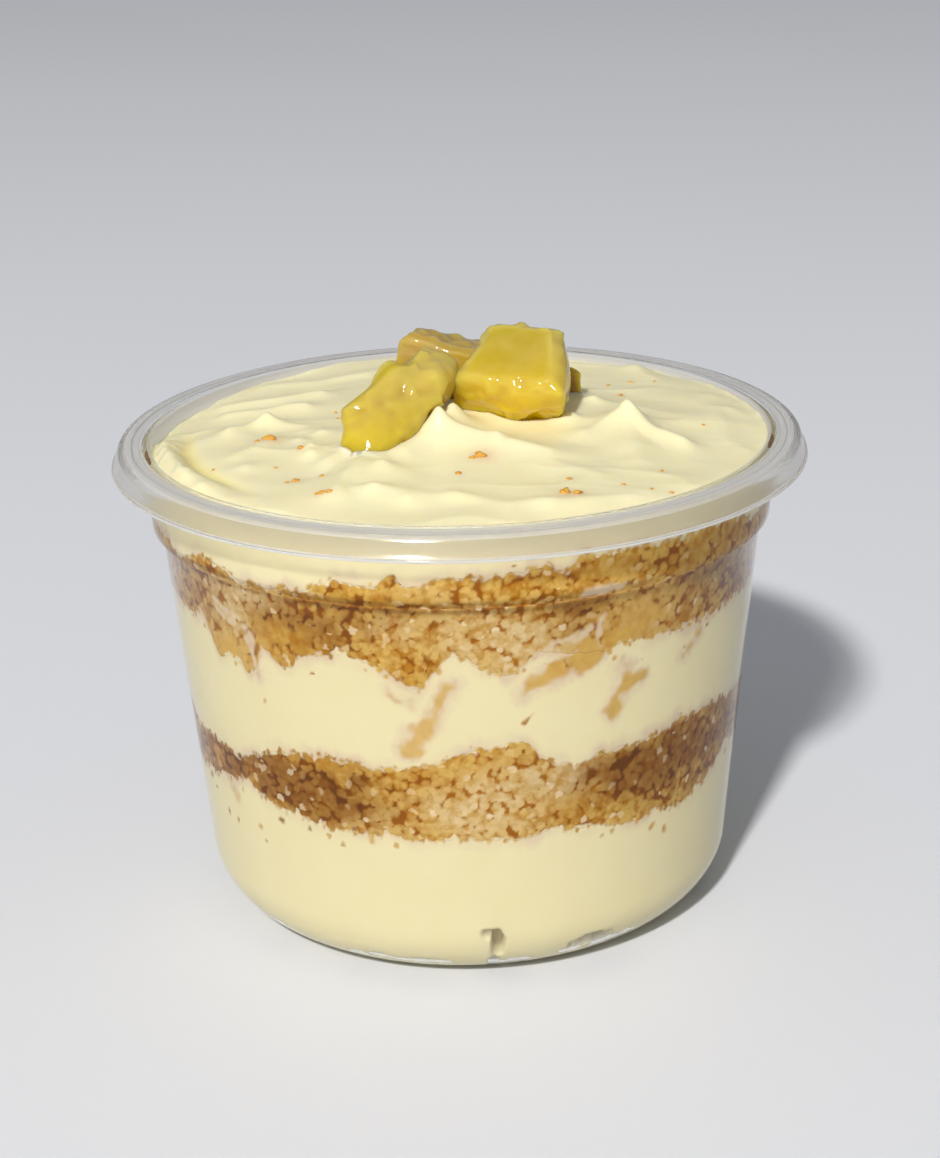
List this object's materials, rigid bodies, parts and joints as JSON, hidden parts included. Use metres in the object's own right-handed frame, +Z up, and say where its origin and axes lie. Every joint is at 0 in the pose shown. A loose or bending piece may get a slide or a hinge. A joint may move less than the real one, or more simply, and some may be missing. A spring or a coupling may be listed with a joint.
{
  "type": "layered pineapple cake in a clear pot",
  "caption": "Round clear tapered pot with a turned-down rim, filled with layers of cake and cream that show through its wall, topped with pineapple chunks.",
  "frame": {"origin": "centre of the pot's foot, on the surface that the pot stands on", "axes": "+Z up along the pot's axis, -Y to the front, +X to the right seen from the front"},
  "size_m": [0.097, 0.097, 0.0827],
  "materials": {
    "clear_pot": "thin clear plastic, glossy, with a slight grey haze",
    "cream": "smooth moist pale yellow cream, soft sheen",
    "cake": "open golden brown crumb, rough and moist",
    "pineapple": "wet translucent yellow fruit with fine fibres"
  },
  "bodies": {
    "root": {"cup": "clear_pot", "cream_bottom": "cream", "cake_lower": "cake", "cream_middle": "cream", "cake_upper": "cake", "cream_top": "cream", "pineapple_left": "pineapple", "pineapple_back": "pineapple", "pineapple_right": "pineapple", "pineapple_small": "pineapple"}
  },
  "joints": []
}
